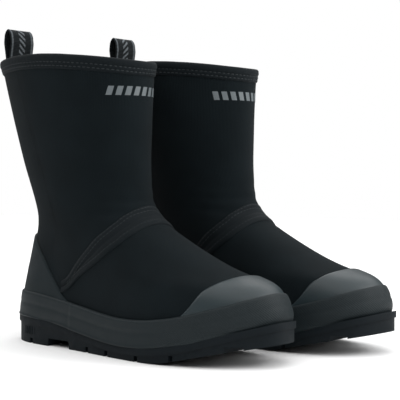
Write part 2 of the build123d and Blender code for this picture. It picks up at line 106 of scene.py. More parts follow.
class Skin:
    """The outside of the right boot's neoprene as a smooth grid of heights and columns.

    A column starts at the back of the heel (0), runs by the outer side to the toe (half of
    them), and back by the inner side.  Places on it are a column and a distance up it."""

    def __init__(self):
        self.middle = loop_hinge("right").x
        self.tree = tree_of("right_shaft", "right_vamp", "right_lining")
        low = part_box("right_outsole")[0].z + FOOT_LIFT
        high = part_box("right_collar_binding")[1].z
        self.levels = self.even_levels(low, high)
        self.ends = [self.spine(z) for z in self.levels]
        self.points = self.cast_all()
        self.smooth()
        self.soften()
        self.measure()

    def centre_hit(self, z, sign):
        """Where the boot's back (+1) or front (-1) is on its centreline, at or near a height."""
        low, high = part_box("right_outsole")
        ankle = low.y + 0.7 * (high.y - low.y)
        for lift in range(0, 44, 2):
            start = Vector((self.middle, 0.6 * sign, z + lift * MM))
            found = self.tree.ray_cast(start, Vector((0, -sign, 0)))[0]
            if found is not None and (found.y - ankle) * sign > 0:
                return found.y
        raise RuntimeError(f"nothing of the boot at height {z:.3f}")

    def spine(self, z):
        z = min(z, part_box("right_collar_binding")[1].z - RIM_CLEAR)
        back, front = self.centre_hit(z, 1), self.centre_hit(z, -1)
        inset = min(0.3 * (back - front), 42 * MM)
        return back - inset, front + inset

    def even_levels(self, low, high):
        heights = np.arange(low, high + LEVEL_STEP, LEVEL_STEP)
        fronts = [self.centre_hit(min(z, high - RIM_CLEAR), -1) for z in heights]
        step = np.hypot(np.diff(heights), np.diff(fronts) * 0.8)
        run = np.concatenate([[0], np.cumsum(step)])
        count = int(run[-1] / (1.9 * MM))
        return np.interp(np.linspace(0, run[-1], count), run, heights)

    def ray(self, column, ends):
        """Start on the spine and outward direction of a column."""
        back, front = ends
        place = column % COLUMNS
        inner = place > COLUMNS / 2
        place = COLUMNS - place if inner else place
        side = 1 if inner else -1
        if place < FAN:
            turn = place / FAN * math.pi / 2
            return back, Vector((side * math.sin(turn), math.cos(turn), 0))
        if place < FAN + FLANK:
            return back + (front - back) * (place - FAN) / FLANK, Vector((side, 0, 0))
        turn = (place - FAN - FLANK) / FAN * math.pi / 2
        return front, Vector((side * math.cos(turn), -math.sin(turn), 0))

    def cast(self, tree, column, z, ends, reach=CAST_REACH):
        y, out = self.ray(column, ends)
        start = Vector((self.middle, y, z))
        hit = tree.ray_cast(start + out * reach, -out, reach)[0]
        return None if hit is None else ((hit - start).dot(out), hit)

    def cast_all(self):
        grid = np.full((len(self.levels), COLUMNS, 3), np.nan)
        for i, z in enumerate(self.levels):
            for c in range(COLUMNS):
                hits = [self.cast(self.tree, c, z + d, self.ends[i]) for d in (0, LEVEL_STEP, -LEVEL_STEP)]
                hits = [h for h in hits if h]
                if hits:
                    found = max(hits, key=lambda h: h[0])[1]
                    grid[i, c] = found.x, found.y, z
        for c in range(COLUMNS):
            known = np.flatnonzero(~np.isnan(grid[:, c, 0]))
            first, last = known[0], known[-1]
            grid[:first, c, :2] = grid[first, c, :2]
            lean = (grid[last, c, :2] - grid[last - 6, c, :2]) / (self.levels[last] - self.levels[last - 6])
            for i in range(last + 1, len(self.levels)):
                grid[i, c, :2] = grid[last, c, :2] + lean * (self.levels[i] - self.levels[last])
            for axis in (0, 1):
                rows = ~np.isnan(grid[:, c, axis])
                grid[:, c, axis] = np.interp(self.levels, self.levels[rows], grid[rows, c, axis])
            grid[:, c, 2] = self.levels
        return grid

    def smooth(self):
        """Rounds off the CAD's flat facets without shrinking the boot."""
        def blur(grid, spread, axis, around):
            reach = int(3 * spread)
            weights = np.exp(-0.5 * (np.arange(-reach, reach + 1) / spread) ** 2)
            weights /= weights.sum()
            mode = "wrap" if around else "reflect"
            pads = [(0, 0)] * 3
            pads[axis] = (reach, reach)
            if around:
                wide = np.pad(grid, pads, mode=mode)
            else:
                wide = np.pad(grid, pads, mode=mode, reflect_type="odd")
            size = grid.shape[axis]
            return sum(w * np.take(wide, np.arange(k, k + size), axis) for k, w in enumerate(weights))

        for spread, axis, around in ((5.2, 1, True), (3.6, 0, False)):
            once = blur(self.points, spread, axis, around)
            self.points = 2 * once - blur(once, spread, axis, around)

    def soften(self):
        """Slack of the knit: slow swells on the shaft and a few shallow folds above the instep."""
        size = bpy.context.scene.boots
        out = self.outward()
        for i, z in enumerate(self.points[:, 0, 2]):
            for c in range(COLUMNS):
                place = Vector(self.points[i, c])
                on_shaft = np.clip((z - 0.12) / 0.05, 0, 1) * np.clip((0.25 - z) / 0.03, 0, 1)
                swell = noise.noise(place * 17 + Vector((3, 8, 1))) * size.slack * on_shaft
                front = max(0.0, 1 - abs(c / COLUMNS - 0.5) * 5.5)
                fold = math.sin((z + 0.004 * noise.noise(place * 30)) * 2 * math.pi / 0.0125)
                ankle = math.exp(-((z - 0.128) / 0.017) ** 2) * front ** 0.7
                self.points[i, c] += out[i, c] * (swell + fold * ankle * size.fold)

    def outward(self):
        around = np.roll(self.points, -1, 1) - np.roll(self.points, 1, 1)
        up = np.gradient(self.points, axis=0)
        normal = np.cross(around, up)
        return normal / np.linalg.norm(normal, axis=2, keepdims=True)

    def measure(self):
        self.normals = self.outward()
        steps = np.linalg.norm(np.diff(self.points, axis=0), axis=2)
        self.run = np.concatenate([np.zeros((1, COLUMNS)), np.cumsum(steps, 0)])
        steps = np.linalg.norm(np.roll(self.points, -1, 1) - self.points, axis=2)
        self.around = np.concatenate([np.zeros((len(self.levels), 1)), np.cumsum(steps, 1)], 1)

    def mixed(self, grid, column):
        first = math.floor(column)
        share = column - first
        return grid[:, first % COLUMNS] * (1 - share) + grid[:, (first + 1) % COLUMNS] * share

    def at(self, column, run, off):
        """Points a distance `off` outside the skin, for arrays of runs and offs on one column."""
        runs = self.mixed(self.run, column)
        places, normals = self.mixed(self.points, column), self.mixed(self.normals, column)
        point = np.stack([np.interp(run, runs, places[:, k]) for k in range(3)], -1)
        normal = np.stack([np.interp(run, runs, normals[:, k]) for k in range(3)], -1)
        normal /= np.linalg.norm(normal, axis=-1, keepdims=True)
        return point + normal * np.asarray(off)[..., None], normal

    def run_at(self, column, z):
        return np.interp(z, self.mixed(self.points, column)[:, 2], self.mixed(self.run, column))

    def span(self, *names):
        """Lowest and highest run of the CAD nodes on every column; nan where they are absent."""
        tree = tree_of(*names)
        found = np.full((2, COLUMNS), np.nan)
        for c in range(COLUMNS):
            hit = [self.cast(tree, c, z, e, NODE_REACH) is not None for z, e in zip(self.levels, self.ends)]
            rows = np.flatnonzero(hit)
            if not len(rows):
                continue
            for end, row, step in ((0, rows[0], -1), (1, rows[-1], 1)):
                inside, outside = self.levels[row], self.levels[min(max(row + step, 0), len(hit) - 1)]
                for _ in range(6):
                    z = (inside + outside) / 2
                    if self.cast(tree, c, z, self.ends[row], NODE_REACH) is not None:
                        inside = z
                    else:
                        outside = z
                found[end, c] = self.run_at(c, inside)
        return found


def evened(values, spread=2.0):
    """A closed row of edge places, with the CAD's corners rounded off; nan stays nan."""
    known = ~np.isnan(values)
    reach = int(3 * spread)
    total, weight = np.zeros(len(values)), np.zeros(len(values))
    for k in range(-reach, reach + 1):
        w = math.exp(-0.5 * (k / spread) ** 2)
        near = np.roll(known, k)
        total += np.where(near, np.roll(np.where(known, values, 0), k), 0) * w
        weight += near * w
    return np.where(known, total / np.maximum(weight, 1e-9), np.nan)


def unbroken(known):
    """Columns of a covered stretch, in order round the boot."""
    if known.all():
        return list(range(COLUMNS))
    start = next(c for c in range(COLUMNS) if known[c] and not known[c - 1])
    run = [start]
    while known[(run[-1] + 1) % COLUMNS]:
        run.append(run[-1] + 1)
    return run


# ------------------------------------------------------------------ meshes
def new_piece(name, points, faces, uvs=None, smooth=True):
    mesh = bpy.data.meshes.new(name)
    mesh.from_pydata([tuple(p) for p in points], [], faces)
    if uvs is not None:
        layer = mesh.uv_layers.new(name="surface")
        layer.data.foreach_set("uv", np.asarray(uvs, np.float32).ravel())
    mesh.polygons.foreach_set("use_smooth", [smooth] * len(mesh.polygons))
    mesh.validate()
    piece = bpy.data.objects.new(name, mesh)
    bpy.context.scene.collection.objects.link(piece)
    return piece


def strip(name, rings, closed, ring_closed=False, flip=False):
    """Quads between rings of points; uv is the distance along the rings and across them, in metres."""
    rings = np.asarray(rings)
    count, size = rings.shape[:2]
    along = np.linalg.norm(np.diff(rings, axis=0, append=rings[:1]), axis=2).mean(1)
    u = np.concatenate([[0], np.cumsum(along)])
    across = np.linalg.norm(np.diff(rings, axis=1, append=rings[:, :1]), axis=2)
    v = np.concatenate([np.zeros((count, 1)), np.cumsum(across, 1)], 1)
    faces, uvs = [], []
    for i in range(count if closed else count - 1):
        j = (i + 1) % count
        for k in range(size if ring_closed else size - 1):
            m = (k + 1) % size
            corner = [(i, k, u[i], v[i, k]), (j, k, u[i + 1], v[j, k]),
                      (j, m, u[i + 1], v[j, k + 1]), (i, m, u[i], v[i, k + 1])]
            corner = corner[::-1] if flip else corner
            faces.append([a * size + b for a, b, _, _ in corner])
            uvs += [(p, q) for _, _, p, q in corner]
    return new_piece(name, rings.reshape(-1, 3), faces, uvs)


def sheet_on(skin, name, low, high, profile, columns=None, flip=False, finer=1):
    """A layer on the skin from run `low` to run `high` of each column.

    `profile(run, low, high, column)` gives how far it stands off; rows crowd to both edges."""
    closed = columns is None
    first, last = (0, COLUMNS) if closed else (columns[0], columns[-1] + 1e-6)
    columns = np.arange(first, last, 1 / finer)
    full = np.arange(-COLUMNS, 2 * COLUMNS)
    tripled = np.tile(low, 3), np.tile(high, 3)
    rings = []
    longest = np.nanmax(high - low)
    edge = np.array([0, 0.35, 0.8, 1.4, 2.2, 3.2]) * MM
    inner = max(6, int(longest / (2.2 * MM)))
    for c in columns:
        bottom, top = [np.interp(c, full[~np.isnan(t)], t[~np.isnan(t)]) for t in tripled]
        top = max(top, bottom + 0.2 * MM)
        room = min(1.0, (top - bottom) / (8 * MM))
        rows = np.concatenate([bottom + edge * room,
                               np.linspace(bottom + 4.2 * MM * room, top - 4.2 * MM * room, inner),
                               (top - edge * room)[::-1]])
        off = np.array([profile(r, bottom, top, c) for r in rows])
        rings.append(skin.at(c, rows, off)[0])
    return strip(name, rings, closed, flip=flip)


def bead(distance, radius):
    return math.exp(-(distance / radius) ** 2)


def edge_rise(distance, width):
    """0 at an edge to 1 a width in from it, rounded like a cut rubber edge."""
    share = min(max(distance / width, 0.0), 1.0)
    return math.sqrt(1 - (1 - share) ** 2)


def stitches(skin, name, path, length, gap, radius, off):
    """Short rounded stitches along a path of (column, run) places, sitting `off` outside the skin."""
    centre = np.array([skin.at(c, np.array([r]), [off])[0][0] for c, r in path])
    normal = np.array([skin.at(c, np.array([r]), [off])[1][0] for c, r in path])
    run = np.concatenate([[0], np.cumsum(np.linalg.norm(np.diff(centre, axis=0), axis=1))])
    count = int(run[-1] / (length + gap))
    points, faces = [], []
    sides, rings = 6, ((0.0, 0.35), (0.12, 0.85), (0.5, 1.0), (0.88, 0.85), (1.0, 0.35))
    for n in range(count):
        start = (n + 0.5) * run[-1] / count - length / 2
        base = len(points)
        for share, wide in rings:
            place = start + share * length
            p = np.array([np.interp(place, run, centre[:, k]) for k in range(3)])
            out = np.array([np.interp(place, run, normal[:, k]) for k in range(3)])
            ahead = np.array([np.interp(place + 0.5 * MM, run, centre[:, k]) for k in range(3)]) - p
            ahead = ahead if np.linalg.norm(ahead) > 1e-7 else p - centre[-2]
            cross = np.cross(out, ahead / np.linalg.norm(ahead))
            sink = 0.55 * radius * (2 * share - 1) ** 2
            for k in range(sides):
                turn = 2 * math.pi * k / sides
                points.append(p + cross * math.cos(turn) * radius * wide
                              + out * (math.sin(turn) * radius * wide * 0.8 - sink))
        for i in range(len(rings) - 1):
            for k in range(sides):
                m = (k + 1) % sides
                faces.append([base + i * sides + k, base + i * sides + m,
                              base + (i + 1) * sides + m, base + (i + 1) * sides + k])
        faces.append([base + k for k in range(sides)][::-1])
        faces.append([base + (len(rings) - 1) * sides + k for k in range(sides)])
    return new_piece(name, points, faces)


def level_path(edge, drop, columns=None):
    places = range(COLUMNS + 1) if columns is None else columns
    return [(c, edge[c % COLUMNS] - drop) for c in places if not math.isnan(edge[c % COLUMNS])]


def other_boot(piece):
    """The left boot's copy of a right boot's piece: mirrored, and set where the left boot stands."""
    right, left = loop_hinge("right"), loop_hinge("left")
    mesh = piece.data.copy()
    for v in mesh.vertices:
        v.co = (left.x - (v.co.x - right.x), v.co.y + left.y - right.y, v.co.z)
    mesh.flip_normals()
    name = piece.name.replace("right_", "left_", 1)
    mesh.name = name
    copy = bpy.data.objects.new(name, mesh)
    bpy.context.scene.collection.objects.link(copy)
    return copy


def fit_pair(piece, part, nodes=()):
    """Puts a right boot's piece and its mirror copy on their bodies in place of the CAD nodes."""
    for side, one in (("right", piece), ("left", other_boot(piece))):
        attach(one, f"{side}_{part}")
        if nodes:
            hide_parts(*[f"{side}_{n}" for n in nodes])
    return piece


# ------------------------------------------------------------------ materials
def linear(colour):
    """sRGB hex colour as linear RGBA."""
    parts = [int(colour[i:i + 2], 16) / 255 for i in (1, 3, 5)]
    return [c / 12.92 if c <= 0.04045 else ((c + 0.055) / 1.055) ** 2.4 for c in parts] + [1.0]


def add(tree, kind, inputs=None, **settings):
    node = tree.nodes.new(kind)
    for name, value in settings.items():
        setattr(node, name, value)
    for name, value in (inputs or {}).items():
        if isinstance(value, bpy.types.NodeSocket):
            tree.links.new(value, node.inputs[name])
        else:
            node.inputs[name].default_value = value
    return node


def darker(colour, share):
    return [c * share for c in colour[:3]] + [1.0]


def material(name, colour, rough, **sockets):
    """A new Principled material with its uniform values set, its node tree and its shader."""
    made = bpy.data.materials.new(name)
    made.use_nodes = True
    shader = made.node_tree.nodes["Principled BSDF"]
    shader.inputs["Base Color"].default_value = colour
    shader.inputs["Roughness"].default_value = rough
    for key, value in sockets.items():
        shader.inputs[key.replace("_", " ")].default_value = value
    return made, made.node_tree, shader


def wave(tree, place, period):
    """A sine along one coordinate, from 0 to 1, with that period in metres."""
    turned = add(tree, "ShaderNodeMath", {0: place, 1: 2 * math.pi / period}, operation="MULTIPLY")
    sine = add(tree, "ShaderNodeMath", {0: turned.outputs[0]}, operation="SINE")
    scaled = add(tree, "ShaderNodeMath", {0: sine.outputs[0], 1: 0.5, 2: 0.5}, operation="MULTIPLY_ADD")
    return scaled.outputs[0]


def joined(tree, a, b, operation):
    return add(tree, "ShaderNodeMath", {0: a, 1: b}, operation=operation).outputs[0]


def surface_uv(tree):
    """Distances round and up a piece, in metres."""
    uv = add(tree, "ShaderNodeUVMap", uv_map="surface")
    split = add(tree, "ShaderNodeSeparateXYZ", {"Vector": uv.outputs["UV"]})
    return split.outputs["X"], split.outputs["Y"]


def grain(tree, size, detail=3.0):
    """Noise in the object's own metres, with features of about `size`."""
    place = add(tree, "ShaderNodeTexCoord")
    texture = add(tree, "ShaderNodeTexNoise",
                  {"Vector": place.outputs["Object"], "Scale": 1 / size, "Detail": detail})
    return texture.outputs["Fac"]


def bumped(tree, shader, height, depth):
    bump = add(tree, "ShaderNodeBump", {"Height": height, "Distance": depth, "Strength": 1.0})
    tree.links.new(bump.outputs["Normal"], shader.inputs["Normal"])


def ranged(tree, value, low, high):
    return add(tree, "ShaderNodeMapRange", {"Value": value, "To Min": low, "To Max": high}).outputs["Result"]


def tinted(tree, shader, value, dark, light):
    mix = add(tree, "ShaderNodeMix", {"Factor": value}, data_type="RGBA")
    mix.inputs["A"].default_value = dark
    mix.inputs["B"].default_value = light
    tree.links.new(mix.outputs["Result"], shader.inputs["Base Color"])


def knit_neoprene(sizes):
    """Closed-cell neoprene laminated with a fine black jersey knit."""
    made, tree, shader = material("knit_faced_neoprene", sizes.knit_colour, 0.85,
                                  Sheen_Weight=0.02, Sheen_Roughness=0.5, Specular_IOR_Level=0.05)
    round_, up = surface_uv(tree)
    lean = joined(tree, wave(tree, round_, 1.3 * MM), 0.5 * MM, "MULTIPLY")
    loops = joined(tree, wave(tree, round_, 1.3 * MM), wave(tree, joined(tree, up, lean, "ADD"), 1.0 * MM),
                   "MULTIPLY")
    bumped(tree, shader, joined(tree, loops, joined(tree, grain(tree, 1.6 * MM), 0.7, "MULTIPLY"), "ADD"),
           0.16 * MM)
    tinted(tree, shader, grain(tree, 25 * MM), darker(sizes.knit_colour, 0.55), sizes.knit_colour)
    return made


def lining_knit(sizes):
    """Brushed polyester lining of the shaft."""
    made, tree, shader = material("brushed_polyester_lining", linear("#15191b"), 0.95, Sheen_Weight=0.05,
                                  Sheen_Roughness=0.6, Specular_IOR_Level=0.1)
    bumped(tree, shader, grain(tree, 0.8 * MM), 0.25 * MM)
    return made


def upper_rubber(sizes):
    """Calendered natural rubber of the toe cap, with the faint bloom of vulcanised sheet."""
    made, tree, shader = material("calendered_natural_rubber", sizes.cap_colour, 0.42, IOR=1.52,
                                  Specular_IOR_Level=0.4)
    tinted(tree, shader, grain(tree, 30 * MM), darker(sizes.cap_colour, 0.7), sizes.cap_colour)
    tree.links.new(ranged(tree, grain(tree, 9 * MM), 0.34, 0.5), shader.inputs["Roughness"])
    bumped(tree, shader, grain(tree, 0.7 * MM), 0.03 * MM)
    return made


def matte_rubber(sizes):
    """Calendered rubber sheet with a matt, lightly textured face: the heel counter."""
    made, tree, shader = material("matt_rubber_sheet", sizes.rubber_colour, 0.62, IOR=1.52,
                                  Specular_IOR_Level=0.14)
    tree.links.new(ranged(tree, grain(tree, 12 * MM), 0.55, 0.7), shader.inputs["Roughness"])
    bumped(tree, shader, grain(tree, 0.5 * MM), 0.07 * MM)
    return made


def foxing_rubber(sizes):
    """Extruded rubber foxing: matt, with fine crossed lines embossed round the toe."""
    made, tree, shader = material("extruded_foxing_rubber", sizes.rubber_colour, 0.55, IOR=1.52,
                                  Specular_IOR_Level=0.2)
    round_, up = surface_uv(tree)
    one = wave(tree, joined(tree, round_, up, "ADD"), 2.2 * MM)
    other = wave(tree, joined(tree, round_, up, "SUBTRACT"), 2.2 * MM)
    hatch = joined(tree, one, other, "MAXIMUM")
    mask = add(tree, "ShaderNodeAttribute", attribute_name="hatched").outputs["Fac"]
    height = joined(tree, joined(tree, hatch, mask, "MULTIPLY"),
                    joined(tree, grain(tree, 0.6 * MM), 0.35, "MULTIPLY"), "ADD")
    bumped(tree, shader, height, 0.2 * MM)
    tree.links.new(ranged(tree, grain(tree, 10 * MM), 0.48, 0.64), shader.inputs["Roughness"])
    return made


def sole_rubber(sizes):
    """Moulded black rubber outsole, with a spark-eroded mould's fine grain."""
    made, tree, shader = material("moulded_sole_rubber", sizes.sole_colour, 0.66, IOR=1.52,
                                  Specular_IOR_Level=0.12)
    tree.links.new(ranged(tree, grain(tree, 7 * MM), 0.58, 0.74), shader.inputs["Roughness"])
    bumped(tree, shader, grain(tree, 0.45 * MM), 0.09 * MM)
    return made


def tape_cloth(sizes):
    """Grosgrain binding and seam tape: fine crosswise ribs of polyester."""
    made, tree, shader = material("polyester_grosgrain_tape", sizes.tape_colour, 0.78, Sheen_Weight=0.02,
                                  Sheen_Roughness=0.5, Specular_IOR_Level=0.1)
    round_, _ = surface_uv(tree)
    height = joined(tree, wave(tree, round_, 1.1 * MM), grain(tree, 0.5 * MM), "ADD")
    bumped(tree, shader, height, 0.09 * MM)
    return made


def webbing(sizes):
    """Woven polyester webbing: crosswise ribs, paler selvedge lines and a small woven block pattern."""
    made, tree, shader = material("woven_polyester_webbing", sizes.tape_colour, 0.8, Sheen_Weight=0.04,
                                  Sheen_Roughness=0.4, Specular_IOR_Level=0.15)
    along, across = surface_uv(tree)
    ribs = wave(tree, along, 1.4 * MM)
    threads = wave(tree, across, 0.9 * MM)
    bumped(tree, shader, joined(tree, ribs, joined(tree, threads, 0.5, "MULTIPLY"), "ADD"), 0.22 * MM)
    line = add(tree, "ShaderNodeAttribute", attribute_name="line").outputs["Fac"]
    middle = joined(tree, wave(tree, across, 61 * MM), 0.962, "GREATER_THAN")
    slant = joined(tree, joined(tree, across, 0.8, "MULTIPLY"), along, "ADD")
    blocks = joined(tree, wave(tree, slant, 5.5 * MM), 0.55, "GREATER_THAN")
    shown = joined(tree, line, joined(tree, middle, blocks, "MULTIPLY"), "MAXIMUM")
    weave = joined(tree, shown, ranged(tree, ribs, 0.6, 1.0), "MULTIPLY")
    tinted(tree, shader, weave, sizes.tape_colour, sizes.weave_colour)
    return made


def thread(sizes):
    """Twisted black polyester sewing thread."""
    return material("twisted_polyester_thread", linear("#171e21"), 0.55, Specular_IOR_Level=0.3)[0]


def print_film(sizes):
    """Grey heat-transfer film with a glass-bead surface."""
    made, tree, shader = material("heat_transfer_film", sizes.print_colour, 0.5)
    bumped(tree, shader, grain(tree, 0.5 * MM), 0.03 * MM)
    return made


def eva_foam(sizes):
    """Die-cut EVA foam footbed with a fine cell."""
    made, tree, shader = material("die_cut_eva_foam", linear("#2d2e30"), 0.85)
    bumped(tree, shader, grain(tree, 0.9 * MM), 0.12 * MM)
    return made


def fibre_board(sizes):
    """Pressed cellulose insole board."""
    made, tree, shader = material("cellulose_insole_board", linear("#8f7a5a"), 0.9)
    bumped(tree, shader, grain(tree, 1.2 * MM), 0.05 * MM)
    return made


def spring_steel(sizes):
    """Rolled spring-steel shank strip."""
    made, tree, shader = material("rolled_spring_steel", linear("#8c8d90"), 0.38, Metallic=1.0)
    tree.links.new(ranged(tree, grain(tree, 3 * MM), 0.3, 0.45), shader.inputs["Roughness"])
    return made


def pale_floor(sizes):
    """Matt white studio paper."""
    return material("white_studio_paper", sizes.floor_colour, 0.9, Specular_IOR_Level=0.2)[0]


def coat(piece, maker):
    """Gives a piece the material of that maker, made once.  Every maker takes the boots' sizes."""
    key = maker.__name__
    if key not in made_materials:
        made_materials[key] = maker(bpy.context.scene.boots)
    piece.data.materials.clear()
    piece.data.materials.append(made_materials[key])
    return piece


def skin_of():
    if "skin" not in shared:
        shared["skin"] = Skin()
    return shared["skin"]


def edges_of(node, spread=2.0):
    """Evened low and high edges of a right boot's node on the skin."""
    if node not in shared:
        low, high = skin_of().span("right_" + node)
        shared[node] = evened(low, spread), evened(high, spread)
    return shared[node]


def paint_attribute(piece, name, value_of):
    layer = piece.data.attributes.new(name, "FLOAT", "POINT")
    layer.data.foreach_set("value", [value_of(v.co) for v in piece.data.vertices])


# ------------------------------------------------------------------ pieces
def flat(*_):
    return 0.0


def make_neoprene():
    skin = skin_of()
    low, high = edges_of("shaft", 1.0)
    _, rim = edges_of("collar_binding")
    shaft = sheet_on(skin, "right_shaft_knit", low, np.maximum(high, rim - 3 * MM), flat)
    fit_pair(coat(shaft, knit_neoprene), "boot", ["shaft"])
    low, high = edges_of("vamp", 1.0)
    columns = unbroken(~np.isnan(low))
    vamp = sheet_on(skin, "right_vamp_knit", low, high, flat, columns)
    fit_pair(coat(vamp, knit_neoprene), "boot", ["vamp"])


def make_lining():
    skin = skin_of()
    low, _ = edges_of("foxing")
    _, rim = edges_of("collar_binding")
    inside = sheet_on(skin, "right_lining_knit", low + 3 * MM, rim - 6 * MM,
                      lambda *_: -LINING_DEPTH, flip=True)
    fit_pair(coat(inside, lining_knit), "boot", ["lining"])


def make_patch(node, name, thickness, rounding, maker):
    """A rubber sheet glued on the upper, with its top edge rounded."""
    low, high = edges_of(node)

    def profile(run, _bottom, top, _column):
        return PATCH_STEP + thickness * edge_rise(top - run, rounding)

    patch = sheet_on(skin_of(), name, low, high, profile, unbroken(~np.isnan(low)), finer=2)
    fit_pair(coat(patch, maker), "boot", [node])


def make_toe_cap():
    thickness = bpy.context.scene.boots.cap_rubber
    make_patch("toe_cap", "right_toe_cap_rubber", thickness, 2.6 * MM, upper_rubber)


def make_counter():
    thickness = bpy.context.scene.boots.counter_rubber
    make_patch("heel_counter", "right_heel_counter_rubber", thickness, 2.0 * MM, matte_rubber)


def make_foxing():
    skin, sizes = skin_of(), bpy.context.scene.boots
    low, high = edges_of("foxing")
    joint = FAN + 0.25 * FLANK

    def profile(run, bottom, top, column):
        up, down = run - bottom, top - run
        off = sizes.foxing_rubber * (0.25 + 0.75 * edge_rise(down, 2.2 * MM))
        off += sizes.foxing_flare * (1 - min(up / (top - bottom), 1.0))
        off += 0.6 * MM * bead(up - 1.1 * MM, 0.9 * MM)
        off -= sizes.foxing_crease * bead(up - 0.54 * (top - bottom), 1.3 * MM)
        lap = column - joint
        return off + (0.55 * MM * math.exp(-lap / 5) if lap >= 0 else 0.0)

    band = sheet_on(skin, "right_foxing_band", low - 0.3 * MM, high, profile, finer=2)
    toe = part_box("right_toe_cap")[1].y
    paint_attribute(band, "hatched", lambda p: min(max((toe + 12 * MM - p.y) / (10 * MM), 0.0), 1.0))
    fit_pair(coat(band, foxing_rubber), "boot", ["foxing"])


def make_seam_tape():
    skin = skin_of()
    low, high = edges_of("seam_tape")
    columns = unbroken(~np.isnan(low))

    def profile(run, bottom, top, _column):
        tall = top - bottom
        up, down = run - bottom, top - run
        off = 1.3 * MM * min(edge_rise(up, 1.5 * MM), edge_rise(down, 1.5 * MM))
        off -= 0.9 * MM * bead(up - 0.52 * tall, 1.1 * MM)
        off += 0.5 * MM * bead(up - 0.16 * tall, 1.6 * MM)
        return off + 0.35 * MM * bead(down - 3.4 * MM, 1.6 * MM)

    tape = sheet_on(skin, "right_seam_tape_band", low, high, profile, columns, finer=2)
    fit_pair(coat(tape, tape_cloth), "boot", ["seam_tape"])
    rows = []
    for edge, shift in ((high, -1.7), (high, -5.2), (low, 5.2)):
        path = [(c, edge[c % COLUMNS] + shift * MM) for c in columns[2:-2]]
        rows.append(stitches(skin, "row", path, 2.8 * MM, 0.9 * MM, 0.4 * MM, 1.35 * MM))
    fit_pair(coat(merged(rows, "right_seam_stitches"), thread), "boot")


def merged(pieces, name):
    """One mesh piece from several, with the points they have."""
    points, faces = [], []
    for piece in pieces:
        faces += [[len(points) + i for i in p.vertices] for p in piece.data.polygons]
        points += [v.co.copy() for v in piece.data.vertices]
        bpy.data.objects.remove(piece)
    return new_piece(name, points, faces)


def make_binding():
    skin = skin_of()
    _, rim = edges_of("collar_binding", 3.0)
    outline = ((0.0, 13.2), (0.5, 13.0), (1.1, 12.3), (1.35, 11.4), (1.0, 10.5), (1.4, 9.6), (1.75, 8.5),
               (1.2, 7.2), (1.6, 6.2), (2.1, 5.2), (2.1, 3.6), (1.9, 2.0), (1.3, 0.8), (0.3, 0.1),
               (-1.2, -0.2), (-3.0, -0.2), (-4.6, 0.1), (-5.7, 0.9), (-6.3, 2.2), (-6.5, 4.5), (-6.3, 8.0),
               (-6.2, 11.5), (-5.6, 12.8), (-4.8, 13.2))
    rings = []
    for k in range(2 * COLUMNS):
        column = k / 2
        top = np.interp(column, np.arange(COLUMNS + 1), np.append(rim, rim[0]))
        off, drop = np.array(outline).T * MM
        pucker = 0.08 * MM * math.sin(column * 2.1) * np.clip(drop / (6 * MM), 0, 1)
        rings.append(skin.at(column, top - drop, off + pucker)[0])
    binding = strip("right_collar_tape", rings, True)
    fit_pair(coat(binding, tape_cloth), "boot", ["collar_binding"])
    rows = []
    for drop, off in ((7.2, 1.3), (10.5, 1.1)):
        path = level_path(rim, drop * MM)
        rows.append(stitches(skin, "row", path, 3.2 * MM, 1.1 * MM, 0.55 * MM, off * MM))
    fit_pair(coat(merged(rows, "right_collar_stitches"), thread), "boot")


def make_print():
    """Slanted bars in place of the name on the front of the shaft."""
    skin = skin_of()
    low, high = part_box("right_front_print")
    row = int(np.argmin(abs(skin.levels - (low.z + high.z) / 2)))
    around = skin.around[row, :COLUMNS]
    front = around[COLUMNS // 2]
    bars, count = [], PRINT_BARS
    pitch = (high.x - low.x) * 1.06 / count
    for i in range(count):
        rings = []
        for wide in np.linspace(0, 0.62 * pitch, 7):
            ring = []
            for share in np.linspace(0, 1, 7):
                place = front + (i - count / 2 + 0.19) * pitch + wide + 2.2 * MM * share
                column = np.interp(place, around, np.arange(COLUMNS))
                run = skin.run_at(column, low.z + (high.z - low.z) * share)
                ring.append(skin.at(column, np.array([run]), [0.25 * MM])[0][0])
            rings.append(ring)
        bars.append(strip("bar", rings, False))
    fit_pair(coat(merged(bars, "right_print_bars"), print_film), "boot", ["front_print"])


